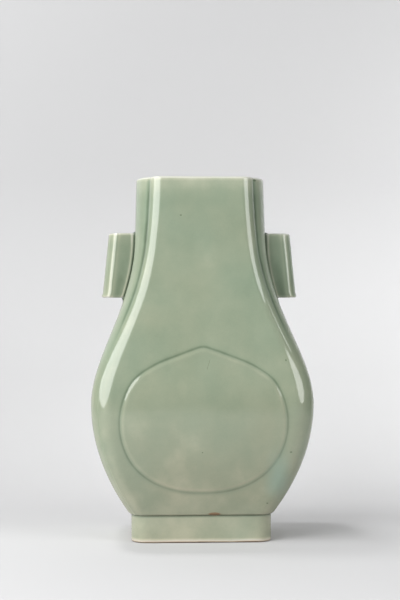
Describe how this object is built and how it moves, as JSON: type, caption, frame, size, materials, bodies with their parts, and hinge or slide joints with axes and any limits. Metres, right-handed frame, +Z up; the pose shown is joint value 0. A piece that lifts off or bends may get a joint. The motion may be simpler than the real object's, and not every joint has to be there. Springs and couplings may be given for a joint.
{
  "type": "vase",
  "caption": "Rectangular porcelain vase with indented corners, flat sides, tubular side handles, relief peach panels and a foot ring.",
  "frame": {"origin": "middle of the footprint, on the surface the vase stands on", "axes": "+Z up; the broad front face looks along -Y; +X to the right of someone facing it, through the right handle"},
  "size_m": [0.181, 0.1462, 0.3],
  "materials": {
    "celadon_glaze": "glossy pale green celadon glaze, thinner and whiter on edges",
    "foot_glaze": "the same glaze, with a bare, warm buff rim where it stands"
  },
  "bodies": {
    "root": {"front_wall": "celadon_glaze", "back_wall": "celadon_glaze", "left_wall": "celadon_glaze", "right_wall": "celadon_glaze", "base_slab": "celadon_glaze", "foot_ring": "foot_glaze", "left_handle": "celadon_glaze", "right_handle": "celadon_glaze", "front_peach_panel": "celadon_glaze", "back_peach_panel": "celadon_glaze"}
  },
  "joints": []
}
